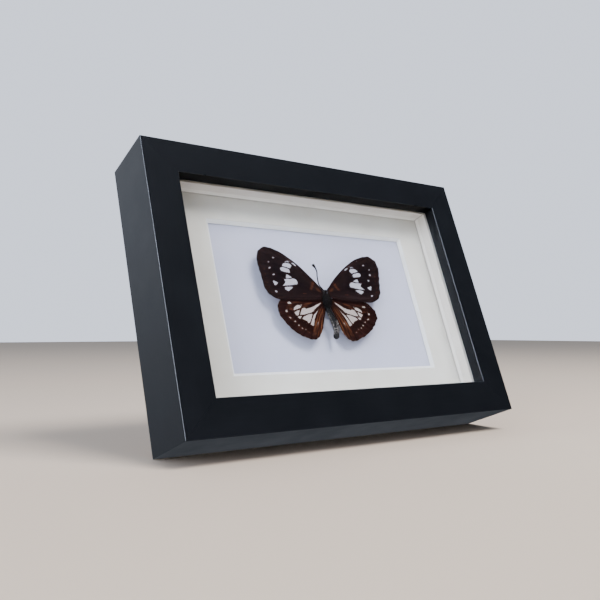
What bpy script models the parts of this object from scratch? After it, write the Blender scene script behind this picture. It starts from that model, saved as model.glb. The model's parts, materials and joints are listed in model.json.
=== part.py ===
# Framed butterfly specimen: a deep black box frame that leans back on its own strut.
#
# Everything but the strut is laid out in the frame's own axes, which are parented to one empty:
# X runs across the frame from its left edge, Y runs in from the front face, Z runs up from the
# bottom edge. The empty leans the frame back until its rear bottom edge and the foot of the strut
# stand on the floor at Z = 0. Lengths are in metres, written as millimetres times mm.

import math

import bmesh
import bpy
from mathutils import Matrix, Vector

mm = 0.001

# Driving dimensions
gap = 0.3 * mm                # free play between neighbouring pieces
frame_width = 171.0 * mm
frame_height = 121.0 * mm
frame_depth = 28.5 * mm
lean = math.radians(20.3)     # how far the frame leans back
face_width = 14.3 * mm        # width of the black face all round
lip_depth = 5.7 * mm          # front face to the seat of the glass
wall = 10.3 * mm              # thickness of the rail behind the lip
edge_round = 0.3 * mm         # rounding of the rails' long edges

glass_thickness = 1.2 * mm
spacer_depth = 6.4 * mm
spacer_foot = 0.7 * mm        # how far the spacer's rear edge flares out over the mat
flare_depth = 1.6 * mm
mat_thickness = 1.5 * mm
card_thickness = 1.0 * mm
foam_thickness = 5.7 * mm
panel_thickness = 3.0 * mm

window_left = 30.9 * mm       # the mat's window, from the frame's left and bottom edges
window_right = 142.0 * mm
window_bottom = 25.7 * mm
window_top = 94.9 * mm

forewing_depth = 11.15 * mm   # middle of the forewings, in from the front face
wing_thickness = 0.3 * mm
body_x = 83.2 * mm            # where the wings' own axes have their origin
body_z = 60.0 * mm

hinge_z = 92.0 * mm           # height of the strut's hinge up the frame
hinge_y = 28.2 * mm
strut_open = math.radians(37.6)
strut_thickness = 2.5 * mm
strut_top_width = 38.0 * mm
strut_foot_width = 50.0 * mm
leaf_width = 30.0 * mm
leaf_height = 15.0 * mm
leaf_thickness = 0.8 * mm
knuckle_radius = 1.6 * mm
knuckle_bore = 0.9 * mm
pin_radius = 0.6 * mm
rivet_radius = 1.0 * mm
rivet_head = 2.1 * mm

# Depths that follow, measured in from the front face
glass_front = lip_depth + gap
spacer_front = glass_front + glass_thickness + gap
mat_front = spacer_front + spacer_depth + gap
card_front = mat_front + mat_thickness + gap
foam_front = card_front + card_thickness + gap
panel_front = foam_front + foam_thickness + gap
panel_back = panel_front + panel_thickness
inset = wall + gap            # edge of everything that lies in the rebate

# Outlines, in millimetres. A wing's are measured out from the body's axis and up.
forewing_outline = [
    (2.4, 4.4), (7.2, 11.0), (13.2, 16.9), (20.0, 21.0), (27.2, 22.6), (30.8, 20.7),
    (32.3, 16.0), (31.8, 8.0), (30.4, 1.8), (26.7, -0.6), (17.0, -2.1), (2.4, -1.4),
]
hindwing_outline = [
    (2.7, -2.0), (14.0, -0.4), (23.0, -0.6), (26.8, -4.0), (27.2, -7.5), (25.0, -12.0),
    (20.6, -16.7), (14.7, -19.6), (10.8, -20.0), (7.4, -17.4), (4.6, -11.5), (2.9, -5.5),
]
# side, name ending, sideways stretch, turn of the forewing and of the hindwing
wing_sides = [
    (-1, "left", 1.0, 0.0, 0.0),
    (1, "right", 1.05, math.radians(-3.0), math.radians(-3.5)),
]
# The body's centre line, from the head to the tip of the abdomen: X, depth, Z and radius
body_line = [
    (83.3, 11.4, 63.4, 0.3), (83.3, 11.4, 62.4, 1.2), (83.3, 11.5, 61.4, 0.9), (83.3, 11.8, 59.8, 1.8),
    (83.4, 11.8, 57.6, 1.8), (83.7, 11.7, 55.4, 1.1), (84.1, 11.6, 52.5, 1.3), (84.5, 11.5, 49.0, 1.3),
    (84.7, 11.5, 45.5, 1.3), (84.3, 11.5, 42.8, 1.2), (83.8, 11.5, 41.0, 0.8), (83.7, 11.5, 40.3, 0.2),
]
antenna_line = [
    (81.9, 10.9, 64.2, 0.15), (81.0, 10.7, 66.6, 0.13), (81.2, 10.5, 70.0, 0.12),
    (81.4, 10.4, 72.2, 0.13), (80.9, 10.3, 73.8, 0.2), (80.0, 10.2, 74.9, 0.32), (79.7, 10.2, 75.3, 0.1),
]
mounting_pin_x = 83.4 * mm
mounting_pin_z = 58.6 * mm
mounting_pin_radius = 0.25 * mm
mounting_pin_top = 13.95 * mm
mounting_pin_end = 21.0 * mm
mounting_hole_radius = 0.6 * mm

# Framing points: the place of each one's middle along its rail, and the rail's turn about Y
point_places = [
    ("point_bottom_left", 36.0 * mm, 0.0, 0.0), ("point_bottom_right", 135.0 * mm, 0.0, 0.0),
    ("point_top_left", 36.0 * mm, frame_height, math.pi), ("point_top_right", 135.0 * mm, frame_height, math.pi),
    ("point_left", 0.0, frame_height / 2, math.pi / 2), ("point_right", frame_width, frame_height / 2, -math.pi / 2),
]
point_length = 12.0 * mm
point_width = 6.0 * mm
point_thickness = 0.6 * mm
point_sunk = 4.0 * mm         # how much of it is pressed into the rail


def clear_scene():
    for obj in list(bpy.data.objects):
        bpy.data.objects.remove(obj, do_unlink=True)


def new_collection(name, rendered=True):
    collection = bpy.data.collections.new(name)
    collection.hide_render = not rendered
    bpy.context.scene.collection.children.link(collection)
    return collection


def principled(name, colour, roughness, metallic=0.0, transmission=0.0):
    material = bpy.data.materials.new(name)
    material.use_nodes = True
    shader = material.node_tree.nodes["Principled BSDF"]
    shader.inputs["Base Color"].default_value = (*colour, 1.0)
    shader.inputs["Roughness"].default_value = roughness
    shader.inputs["Metallic"].default_value = metallic
    shader.inputs["Transmission Weight"].default_value = transmission
    return material


clear_scene()
parts = new_collection("framed_butterfly_specimen")
cutters = new_collection("cutters", rendered=False)

black_foil = principled("black_foil", (0.014, 0.016, 0.020), 0.38)
white_board = principled("white_board", (0.62, 0.60, 0.57), 0.75)
lilac_card = principled("lilac_card", (0.60, 0.61, 0.70), 0.8)
pinning_foam = principled("pinning_foam", (0.75, 0.75, 0.73), 0.9)
hardboard = principled("hardboard", (0.16, 0.085, 0.045), 0.7)
clear_glass = principled("clear_glass", (0.95, 0.97, 0.96), 0.02, transmission=1.0)
bright_steel = principled("bright_steel", (0.55, 0.55, 0.54), 0.35, metallic=1.0)
dark_wing = principled("dark_wing", (0.022, 0.013, 0.010), 0.6)
brown_wing = principled("brown_wing", (0.055, 0.022, 0.012), 0.6)
black_body = principled("black_body", (0.012, 0.011, 0.011), 0.7)


def empty(name, location, rotation, parent=None):
    obj = bpy.data.objects.new(name, None)
    obj.location = location
    obj.rotation_euler = rotation
    obj.parent = parent
    parts.objects.link(obj)
    return obj


def add_object(name, data, material, parent, location=(0, 0, 0), rotation=(0, 0, 0)):
    obj = bpy.data.objects.new(name, data)
    obj.location = location
    obj.rotation_euler = rotation
    obj.parent = parent
    data.materials.append(material)
    parts.objects.link(obj)
    return obj


def mesh_from(bm, name):
    bmesh.ops.recalc_face_normals(bm, faces=bm.faces)
    mesh = bpy.data.meshes.new(name)
    bm.to_mesh(mesh)
    bm.free()
    return mesh


def box_into(bm, low, high, turn=Matrix.Identity(4)):
    """Adds a box between two corners, then turns it about the origin."""
    size = [b - a for a, b in zip(low, high)]
    middle = [(a + b) / 2 for a, b in zip(low, high)]
    matrix = turn @ Matrix.Translation(middle) @ Matrix.Diagonal((*size, 1))
    return bmesh.ops.create_cube(bm, size=1.0, matrix=matrix)["verts"]


def box_mesh(name, low, high, turn=Matrix.Identity(4)):
    bm = bmesh.new()
    box_into(bm, low, high, turn)
    return mesh_from(bm, name)


def add_cutter(name, mesh, parent, location=(0, 0, 0), rotation=(0, 0, 0)):
    obj = bpy.data.objects.new(name, mesh)
    obj.location = location
    obj.rotation_euler = rotation
    obj.parent = parent
    obj.hide_render = True
    obj.display_type = "WIRE"
    cutters.objects.link(obj)
    return obj


def boolean(obj, other, operation="DIFFERENCE"):
    modifier = obj.modifiers.new(f"{operation.lower()}_{other.name}", "BOOLEAN")
    modifier.operation = operation
    modifier.object = other
    return modifier


def cylinder_mesh(name, radius, length, axis, segments=24):
    """A cylinder centred on the origin, along the given axis."""
    bm = bmesh.new()
    turn = Vector((0, 0, 1)).rotation_difference(Vector(axis)).to_matrix().to_4x4()
    bmesh.ops.create_cone(bm, cap_ends=True, segments=segments, radius1=radius, radius2=radius,
                          depth=length, matrix=turn)
    return mesh_from(bm, name)


def rounded_profile(corners, steps=3):
    """Turns (across, depth, radius) corners into points, each corner cut by an arc of its radius."""
    points = []
    for index, (across, depth, radius) in enumerate(corners):
        corner = Vector((across, depth))
        if radius == 0:
            points.append(corner)
            continue
        before = (Vector(corners[index - 1][:2]) - corner).normalized()
        after = (Vector(corners[(index + 1) % len(corners)][:2]) - corner).normalized()
        centre = corner + (before + after) * radius
        for step in range(steps + 1):
            angle = math.pi / 2 * step / steps
            points.append(centre - after * radius * math.cos(angle) - before * radius * math.sin(angle))
    return points


def prism_into(bm, points, length):
    """Extrudes a flat outline of (depth, height) points along X, centred on the origin."""
    verts = [bm.verts.new((-length / 2, y, z)) for y, z in points]
    face = bm.faces.new(verts)
    made = bmesh.ops.extrude_face_region(bm, geom=[face])["geom"]
    moved = [item for item in made if isinstance(item, bmesh.types.BMVert)]
    bmesh.ops.translate(bm, verts=moved, vec=(length, 0, 0))


def cut_plane(bm, point, normal):
    """Removes what lies on the normal's side of the plane and closes the cut."""
    geometry = bm.verts[:] + bm.edges[:] + bm.faces[:]
    cut = bmesh.ops.bisect_plane(bm, geom=geometry, dist=1e-7, plane_co=point, plane_no=normal, clear_outer=True)
    edges = [item for item in cut["geom_cut"] if isinstance(item, bmesh.types.BMEdge)]
    bmesh.ops.contextual_create(bm, geom=edges)


def mitred_bar(name, profile, length):
    """A bar of this profile whose ends are cut at 45 degrees, half a gap short of the mitre line."""
    bm = bmesh.new()
    prism_into(bm, [(depth, across) for across, depth in profile], length)
    half_gap = gap / 2
    for side in (-1, 1):
        normal = Vector((side, 0, 1)).normalized()
        cut_plane(bm, Vector((side * length / 2, 0, 0)) - normal * half_gap, normal)
    return mesh_from(bm, name)


def mitred_ring(prefix, profile, material, parent):
    """Four mitred bars round the frame's outline."""
    sides = [
        ("bottom", frame_width, (frame_width / 2, 0, 0), 0.0),
        ("right", frame_height, (frame_width, 0, frame_height / 2), -math.pi / 2),
        ("top", frame_width, (frame_width / 2, 0, frame_height), math.pi),
        ("left", frame_height, (0, 0, frame_height / 2), math.pi / 2),
    ]
    bars = {}
    for side, length, location, turn in sides:
        name = f"{prefix}_{side}"
        bars[side] = add_object(name, mitred_bar(name, profile, length), material, parent, location, (0, turn, 0))
    return bars


def sheet(name, front, thickness, material, parent):
    """A sheet that fills the frame's rebate."""
    low = (inset, front, inset)
    high = (frame_width - inset, front + thickness, frame_height - inset)
    return add_object(name, box_mesh(name, low, high), material, parent)


def flat_plate(name, outline, thickness, material, parent, location, rotation):
    """A smooth closed outline, filled and given its thickness."""
    curve = bpy.data.curves.new(name, "CURVE")
    curve.dimensions = "2D"
    curve.fill_mode = "BOTH"
    curve.extrude = thickness / 2
    curve.resolution_u = 4
    spline = curve.splines.new("BEZIER")
    spline.bezier_points.add(len(outline) - 1)
    for point, place in zip(spline.bezier_points, outline):
        point.co = (*place, 0)
        point.handle_left_type = "AUTO"
        point.handle_right_type = "AUTO"
    spline.use_cyclic_u = True
    return add_object(name, curve, material, parent, location, rotation)


def round_strand(name, line, material, parent, bevel_resolution):
    """A round piece along a smooth centre line, with its own radius at each point."""
    curve = bpy.data.curves.new(name, "CURVE")
    curve.dimensions = "3D"
    curve.bevel_depth = mm
    curve.bevel_resolution = bevel_resolution
    curve.use_fill_caps = True
    curve.resolution_u = 4
    spline = curve.splines.new("BEZIER")
    spline.bezier_points.add(len(line) - 1)
    for point, (x, y, z, radius) in zip(spline.bezier_points, line):
        point.co = (x * mm, y * mm, z * mm)
        point.radius = radius
        point.handle_left_type = "AUTO"
        point.handle_right_type = "AUTO"
    return add_object(name, curve, material, parent)


def add_rivet(name, profile, parent, location):
    """A turned rivet along Y: the profile is (radius, distance in from the seat), outer head first."""
    mesh = bpy.data.meshes.new(name)
    verts = [(radius, 0, along) for radius, along in reversed(profile)]
    mesh.from_pydata(verts, [(i, i + 1) for i in range(len(verts) - 1)], [])
    rivet = add_object(name, mesh, bright_steel, parent, location, (math.pi / 2, 0, 0))
    screw = rivet.modifiers.new("turn", "SCREW")
    screw.steps = 20
    screw.render_steps = 20
    screw.use_merge_vertices = True
    screw.merge_threshold = 0.00001
    return rivet


# The empties: one leans the frame, one carries everything that swings with the strut
hinge_height = (frame_depth - hinge_y) * math.sin(lean) + hinge_z * math.cos(lean)
strut_tilt = strut_open - lean
strut_back = 0.7 * mm + strut_thickness
foot_reach = hinge_height * math.tan(strut_tilt) + strut_back / math.cos(strut_tilt)
hinge_behind_front = hinge_y * math.cos(lean) + hinge_z * math.sin(lean)
total_reach = hinge_behind_front + foot_reach
rounded_off = edge_round * (math.cos(lean) + math.sin(lean) - 1)
frame_start = -(total_reach + rounded_off) / 2
frame_axes = empty("frame_axes", (0, frame_start, frame_depth * math.sin(lean)), (-lean, 0, 0))
frame_origin = empty("frame_corner", (-frame_width / 2, 0, 0), (0, 0, 0), frame_axes)
strut_axes = empty("strut_axes", (frame_width / 2, hinge_y, hinge_z), (strut_open, 0, 0), frame_origin)

# Frame rails: an L in section, lip in front, mitred at the corners
rail_profile = rounded_profile([
    (0, 0, edge_round), (face_width, 0, edge_round), (face_width, lip_depth, 0), (wall, lip_depth, 0),
    (wall, frame_depth, 0), (0, frame_depth, 0),
])
rails = mitred_ring("rail", rail_profile, black_foil, frame_origin)

# Glass, then the spacer that holds the mat off it
sheet("glass", glass_front, glass_thickness, clear_glass, frame_origin)
spacer_back = spacer_front + spacer_depth
spacer_profile = [Vector(corner) for corner in (
    (inset, spacer_front), (face_width, spacer_front), (face_width, spacer_back - flare_depth),
    (face_width + spacer_foot, spacer_back), (inset, spacer_back),
)]
mitred_ring("spacer", spacer_profile, white_board, frame_origin)

# Mat with a window bevelled at 45 degrees, narrowest at the back
mat = sheet("mat", mat_front, mat_thickness, white_board, frame_origin)
window = bmesh.new()
beyond = 1.0 * mm
for face_y, grow in ((mat_front - beyond, beyond), (mat_front + mat_thickness + beyond, -mat_thickness - beyond)):
    for x, z in ((window_left - grow, window_bottom - grow), (window_right + grow, window_bottom - grow),
                 (window_right + grow, window_top + grow), (window_left - grow, window_top + grow)):
        window.verts.new((x, face_y, z))
bmesh.ops.convex_hull(window, input=window.verts)
window_cutter = add_cutter("mat_window", mesh_from(window, "mat_window"), frame_origin)
boolean(mat, window_cutter)

# Mount card, pinning foam and the panel that closes the back
card = sheet("mount_card", card_front, card_thickness, lilac_card, frame_origin)
foam = sheet("pinning_foam", foam_front, foam_thickness, pinning_foam, frame_origin)
panel = sheet("back_panel", panel_front, panel_thickness, hardboard, frame_origin)

# Hidden pin under the thorax, through the card and into the foam
pin_hole = add_cutter(
    "mounting_pin_hole",
    cylinder_mesh("mounting_pin_hole", mounting_hole_radius, 2 * (mounting_pin_end + gap - card_front), (0, 1, 0), 12),
    frame_origin, (mounting_pin_x, card_front, mounting_pin_z))
boolean(card, pin_hole)
boolean(foam, pin_hole)
pin_middle = (mounting_pin_top + mounting_pin_end) / 2
pin_mesh = cylinder_mesh("mounting_pin", mounting_pin_radius, mounting_pin_end - mounting_pin_top, (0, 1, 0), 12)
add_object("mounting_pin", pin_mesh, bright_steel, frame_origin, (mounting_pin_x, pin_middle, mounting_pin_z))

# The butterfly: each wing pair shares one outline, mirrored and set at its own spread
hindwing_depth = forewing_depth + wing_thickness + gap
for side, ending, stretch, forewing_turn, hindwing_turn in wing_sides:
    for kind, outline, depth, turn, material in (
        ("forewing", forewing_outline, forewing_depth, forewing_turn, dark_wing),
        ("hindwing", hindwing_outline, hindwing_depth, hindwing_turn, brown_wing),
    ):
        placed = [(side * out * stretch * mm, up * mm) for out, up in outline]
        flat_plate(f"{kind}_{ending}", placed, wing_thickness, material, frame_origin,
                   (body_x, depth, body_z), (math.pi / 2, -side * turn, 0))
round_strand("butterfly_body", body_line, black_body, frame_origin, 3)
round_strand("antenna", antenna_line, black_body, frame_origin, 2)

# Flexible framing points: flat steel arrowheads pressed into the rails, lying over the panel
point_y = panel_back + gap + point_thickness / 2
for name, x, z, turn in point_places:
    low = (-point_width / 2, -point_thickness / 2, wall - point_sunk)
    high = (point_width / 2, point_thickness / 2, wall - point_sunk + point_length)
    plate = bmesh.new()
    verts = box_into(plate, low, high)
    sunk_end = [vert for vert in verts if vert.co.z < wall]
    bmesh.ops.scale(plate, vec=(0.35, 1, 1), verts=sunk_end)
    place = (x, point_y, z)
    add_object(name, mesh_from(plate, name), bright_steel, frame_origin, place, (0, turn, 0))
    slot_low = (low[0] - gap, low[1] - gap, low[2] - gap)
    slot_high = (high[0] + gap, high[1] + gap, wall + gap)
    slot = add_cutter(f"{name}_slot", box_mesh(f"{name}_slot", slot_low, slot_high), frame_origin, place, (0, turn, 0))
    boolean(rails[name.split("_")[1]], slot)

# Hinge, modelled in strut axes: X along the pin, -Z down the folded strut, +Y away from the frame
knuckle_side = leaf_width / 4
fixed_leaf_y = panel_back + gap - hinge_y


def add_leaf(name, parent, plate_boxes, knuckle_spans):
    """A hinge leaf: flat plates joined to knuckles on the pin's axis, with the pin's bore cut out."""
    first, *others = plate_boxes
    leaf = add_object(name, box_mesh(name, *first), bright_steel, parent)
    for index, corners in enumerate(others):
        boolean(leaf, add_cutter(f"{name}_plate_{index}", box_mesh(f"{name}_plate_{index}", *corners), parent), "UNION")
    for index, (left, right) in enumerate(knuckle_spans):
        knuckle = cylinder_mesh(f"{name}_knuckle_{index}", knuckle_radius, right - left, (1, 0, 0))
        boolean(leaf, add_cutter(knuckle.name, knuckle, parent, ((left + right) / 2, 0, 0)), "UNION")
    bore = cylinder_mesh(f"{name}_bore", knuckle_bore, leaf_width * 1.2, (1, 0, 0))
    boolean(leaf, add_cutter(bore.name, bore, parent))
    return leaf


plate_start = knuckle_radius + 2 * gap
fixed_front = fixed_leaf_y
fixed_back = fixed_leaf_y + leaf_thickness
knuckle_inner = knuckle_side + gap / 2
hinge_axes = empty("hinge_axes", (frame_width / 2, hinge_y, hinge_z), (0, 0, 0), frame_origin)
fixed_leaf = add_leaf(
    "hinge_leaf_panel", hinge_axes,
    [((-leaf_width / 2, fixed_front, plate_start), (leaf_width / 2, fixed_back, leaf_height))]
    + [((min(s * knuckle_inner, s * leaf_width / 2), fixed_front, 0.0),
        (max(s * knuckle_inner, s * leaf_width / 2), fixed_back, plate_start + leaf_thickness)) for s in (-1, 1)],
    [(-leaf_width / 2, -knuckle_inner), (knuckle_inner, leaf_width / 2)],
)

# The strut's leaf has a heel that meets the fixed leaf when the strut is open
strut_leaf_half = leaf_thickness / 2
knuckle_outer = knuckle_side - gap / 2
heel_length = 5.0 * mm
heel_half_width = 4.0 * mm
heel_front = fixed_back + gap
heel_turn = Matrix.Rotation(-strut_open, 4, "X")
strut_leaf = add_leaf(
    "hinge_leaf_strut", strut_axes,
    [((-leaf_width / 2, -strut_leaf_half, -leaf_height), (leaf_width / 2, strut_leaf_half, -plate_start)),
     ((-knuckle_outer, -strut_leaf_half, -plate_start - leaf_thickness), (knuckle_outer, strut_leaf_half, -knuckle_bore)),
     ((-heel_half_width, heel_front, knuckle_bore), (heel_half_width, heel_front + leaf_thickness, heel_length), heel_turn)],
    [(-knuckle_outer, knuckle_outer)],
)
hinge_pin_mesh = cylinder_mesh("hinge_pin", pin_radius, leaf_width, (1, 0, 0))
add_object("hinge_pin", hinge_pin_mesh, bright_steel, hinge_axes)

# Strut: a tapered board, its foot cut to stand flat on the floor when it is open
strut_front = strut_back - strut_thickness
strut_top = -3.0 * mm
strut_length = hinge_height / math.cos(strut_tilt) + 5 * mm
strut_bm = bmesh.new()
strut_verts = box_into(strut_bm, (-0.5, strut_front, -strut_length), (0.5, strut_back, strut_top))
for vert in strut_verts:
    vert.co.x *= strut_top_width if vert.co.z > -strut_length / 2 else strut_foot_width
floor_up = Matrix.Rotation(-strut_tilt, 3, "X") @ Vector((0, 0, 1))
cut_plane(strut_bm, -floor_up * hinge_height, -floor_up)
strut = add_object("strut", mesh_from(strut_bm, "strut"), hardboard, strut_axes)

# Rivets: three through the fixed leaf into the panel, three through the strut and its leaf
head_height = 0.6 * mm
fixed_leaf_back = hinge_y + fixed_back
for index, x in enumerate((-11.0 * mm, 0.0, 11.0 * mm)):
    height = 10.0 * mm
    place = (frame_width / 2 + x, fixed_leaf_back + gap, hinge_z + height)
    shank = place[1] - panel_front - gap
    outside = [
        (0, -head_height), (rivet_head * 0.6, -head_height * 0.8), (rivet_head, 0), (rivet_radius, 0),
        (rivet_radius, shank), (0, shank),
    ]
    add_rivet(f"rivet_panel_{index + 1}", outside, frame_origin, place)
    hole = cylinder_mesh(f"rivet_panel_hole_{index + 1}", rivet_radius + gap, 4 * panel_thickness, (0, 1, 0))
    hole_cutter = add_cutter(hole.name, hole, frame_origin, place)
    boolean(panel, hole_cutter)
    boolean(fixed_leaf, hole_cutter)

    place = (x, strut_back + gap, -height)
    length = strut_back + gap - (-strut_leaf_half - gap)
    inside_head = 0.4 * mm
    through = [
        (0, -head_height), (rivet_head * 0.6, -head_height * 0.8), (rivet_head, 0), (rivet_radius, 0),
        (rivet_radius, length), (rivet_head, length), (rivet_head * 0.7, length + inside_head), (0, length + inside_head),
    ]
    add_rivet(f"rivet_strut_{index + 1}", through, strut_axes, place)
    hole = cylinder_mesh(f"rivet_strut_hole_{index + 1}", rivet_radius + gap, 4 * strut_thickness, (0, 1, 0))
    hole_cutter = add_cutter(hole.name, hole, strut_axes, place)
    boolean(strut, hole_cutter)
    boolean(strut_leaf, hole_cutter)

# Round pieces are shaded smooth, with their real edges kept sharp
for obj in parts.objects:
    if obj.type == "MESH" and obj.name.startswith(("hinge_pin", "mounting_pin", "rivet")):
        obj.data.shade_smooth()
        obj.data.set_sharp_from_angle(angle=math.radians(40))
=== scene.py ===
import json
import math
import random

import bmesh
import bpy
from mathutils import Matrix, Vector, noise


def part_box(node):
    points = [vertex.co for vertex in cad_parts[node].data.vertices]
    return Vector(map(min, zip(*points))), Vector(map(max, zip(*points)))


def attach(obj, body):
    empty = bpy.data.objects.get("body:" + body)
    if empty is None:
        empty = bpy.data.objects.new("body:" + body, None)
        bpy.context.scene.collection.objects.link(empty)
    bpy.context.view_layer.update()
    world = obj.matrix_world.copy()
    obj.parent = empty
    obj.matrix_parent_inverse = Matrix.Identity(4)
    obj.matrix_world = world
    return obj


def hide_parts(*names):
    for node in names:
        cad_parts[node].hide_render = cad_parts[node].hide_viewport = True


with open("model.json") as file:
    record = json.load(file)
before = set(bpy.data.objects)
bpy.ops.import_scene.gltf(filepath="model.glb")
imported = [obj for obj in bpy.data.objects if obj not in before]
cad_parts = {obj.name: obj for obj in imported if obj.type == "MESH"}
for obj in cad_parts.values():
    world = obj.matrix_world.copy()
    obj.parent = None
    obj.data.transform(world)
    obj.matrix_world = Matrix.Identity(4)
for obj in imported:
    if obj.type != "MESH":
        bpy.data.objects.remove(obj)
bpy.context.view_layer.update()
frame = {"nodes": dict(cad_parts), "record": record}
print("frame loaded")

mm = 0.001
random.seed(7)

# The box frame's own axes: across from its left edge, in from its front face, up from its bottom
# edge, all in millimetres. The lean is read from the face that it stands on.
moulding = {
    "width": 171.0,
    "height": 121.0,
    "depth": 28.5,
    "face": 14.3,
    "lip": 5.7,       # front face to the seat of the glass
    "wall": 10.3,     # rail behind the lip
    "round": 0.3,
    "innerRound": 0.15,
    "mitreGap": 0.03,
}
underside = next(mount for mount in frame["record"]["mounts"] if mount["name"] == "frame_underside")
lean = math.atan2(-underside["axis"][1], -underside["axis"][2])
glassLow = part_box("glass")[0] / mm
glassFront, rebateEdge = 6.0, 10.6
frameStart = glassLow.y - glassFront * math.cos(lean) - rebateEdge * math.sin(lean)
frameLift = moulding["depth"] * math.sin(lean)
toWorld = (Matrix.Scale(mm, 4) @ Matrix.Translation((0, frameStart, frameLift))
           @ Matrix.Rotation(-lean, 4, "X") @ Matrix.Translation((-moulding["width"] / 2, 0, 0)))


def hexColour(code):
    # sRGB hex to the linear colour that a socket takes
    channels = [int(code[i:i + 2], 16) / 255 for i in (1, 3, 5)]
    linear = [c / 12.92 if c <= 0.04045 else ((c + 0.055) / 1.055) ** 2.4 for c in channels]
    return (*linear, 1.0)


def addNode(tree, kind, settings=None, inputs=None):
    # adds a node, sets its options, then fills or links its sockets
    node = tree.nodes.new(kind)
    for name, value in (settings or {}).items():
        setattr(node, name, value)
    for key, value in (inputs or {}).items():
        if isinstance(value, bpy.types.NodeSocket):
            tree.links.new(value, node.inputs[key])
        else:
            node.inputs[key].default_value = value
    return node


def addNoise(tree, vector, size, detail=2.0, roughness=0.5, distortion=0.0, unit=mm):
    # size is how wide one cloud is, in millimetres unless another unit is given
    return addNode(tree, "ShaderNodeTexNoise", inputs={
        "Vector": vector, "Scale": 1 / (size * unit), "Detail": detail, "Roughness": roughness,
        "Distortion": distortion}).outputs["Fac"]


def addCells(tree, vector, size):
    return addNode(tree, "ShaderNodeTexVoronoi", inputs={
        "Vector": vector, "Scale": 1 / (size * mm)}).outputs["Distance"]


def addStretch(tree, vector, scale):
    return addNode(tree, "ShaderNodeMapping", inputs={"Vector": vector, "Scale": scale}).outputs["Vector"]


def addMap(tree, name):
    return addNode(tree, "ShaderNodeUVMap", {"uv_map": name}).outputs["UV"]


def addMath(tree, operation, *values):
    return addNode(tree, "ShaderNodeMath", {"operation": operation}, dict(enumerate(values))).outputs["Value"]


def addMix(tree, share, first, second, kind="MIX"):
    # each colour is a hex code or a socket
    first, second = (hexColour(end) if isinstance(end, str) else end for end in (first, second))
    return addNode(tree, "ShaderNodeMix", {"data_type": "RGBA", "blend_type": kind}, {
        0: share, 6: first, 7: second}).outputs[2]


def addRange(tree, value, source=(0.0, 1.0), target=(0.0, 1.0), smooth=False):
    kind = "SMOOTHSTEP" if smooth else "LINEAR"
    return addNode(tree, "ShaderNodeMapRange", {"interpolation_type": kind}, {
        "Value": value, "From Min": source[0], "From Max": source[1],
        "To Min": target[0], "To Max": target[1]}).outputs["Result"]


def addBump(tree, height, strength, depth, below=None):
    # depth is in millimetres; below is the normal of a coarser relief under this one
    inputs = {"Height": height, "Strength": strength, "Distance": depth * mm}
    if below:
        inputs["Normal"] = below
    return addNode(tree, "ShaderNodeBump", inputs=inputs).outputs["Normal"]


def newMaterial(name, **values):
    # a Principled material, and the Object coordinates turned upright with the leaning frame
    material = bpy.data.materials.new(name)
    material.use_nodes = True
    tree = material.node_tree
    setShader(material, **values)
    position = addNode(tree, "ShaderNodeTexCoord").outputs["Object"]
    upright = addNode(tree, "ShaderNodeMapping", inputs={"Vector": position, "Rotation": (lean, 0, 0)})
    return material, tree, upright.outputs["Vector"]


def setShader(material, **values):
    # fills or links the shader's sockets and hands back the material
    shader = material.node_tree.nodes["Principled BSDF"]
    for key, value in values.items():
        socket = shader.inputs[key.replace("_", " ")]
        if isinstance(value, bpy.types.NodeSocket):
            material.node_tree.links.new(value, socket)
        else:
            socket.default_value = value
    return material


def smoothLoop(points, count, closed=True):
    # an even run of points along a Catmull-Rom curve through the given ones
    total = len(points)
    fine = []
    for i in range(total if closed else total - 1):
        near = [(i + k) % total if closed else min(max(i + k, 0), total - 1) for k in (-1, 0, 1, 2)]
        a, b, c, d = (Vector(points[k]) for k in near)
        for step in range(16):
            t = step / 16
            fine.append(0.5 * (2 * b + (c - a) * t + (2 * a - 5 * b + 4 * c - d) * t ** 2
                               + (3 * b - a - 3 * c + d) * t ** 3))
    fine.append(fine[0] if closed else Vector(points[-1]))
    lengths = [0.0]
    for before, after in zip(fine, fine[1:]):
        lengths.append(lengths[-1] + (after - before).length)
    run, place = [], 0
    for i in range(count):
        want = lengths[-1] * i / (count if closed else count - 1)
        while place < len(fine) - 2 and lengths[place + 1] < want:
            place += 1
        stretch = lengths[place + 1] - lengths[place]
        share = (want - lengths[place]) / stretch if stretch else 0.0
        run.append(fine[place].lerp(fine[place + 1], min(max(share, 0.0), 1.0)))
    return run


def madeOf(kind, items):
    # the vertices, edges or faces among what an operator made
    return [item for item in items if isinstance(item, kind)]


def cutOff(mesh, place, normal):
    # saws off what lies past a plane and closes the cut
    cut = bmesh.ops.bisect_plane(mesh, geom=mesh.verts[:] + mesh.edges[:] + mesh.faces[:], dist=1e-5,
                                 plane_co=place, plane_no=normal, clear_outer=True)
    bmesh.ops.contextual_create(mesh, geom=madeOf(bmesh.types.BMEdge, cut["geom_cut"]))


def newMesh(name, mesh):
    data = bpy.data.meshes.new(name)
    mesh.to_mesh(data)
    mesh.free()
    return data


def newObject(name, data):
    thing = bpy.data.objects.new(name, data)
    bpy.context.scene.collection.objects.link(thing)
    return thing


def addPiece(name, mesh, materials, replaces=(), body="frame", place=toWorld, smooth=True):
    # turns a bmesh in millimetres into a finished piece that rides on its body
    bmesh.ops.transform(mesh, matrix=place, verts=mesh.verts)
    data = newMesh(name, mesh)
    if smooth:
        data.shade_smooth()
    for material in materials:
        data.materials.append(material)
    piece = newObject(name, data)
    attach(piece, body)
    if replaces:
        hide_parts(*replaces)
    return piece


def softenEdges(piece, width, segments=3, method="ANGLE"):
    # rounds the edges and keeps the flat faces shading flat
    bevel = piece.modifiers.new("edge rounding", "BEVEL")
    bevel.width = width * mm
    bevel.segments = segments
    bevel.limit_method = method
    bevel.angle_limit = math.radians(40)
    bevel.harden_normals = True
    return bevel


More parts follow.
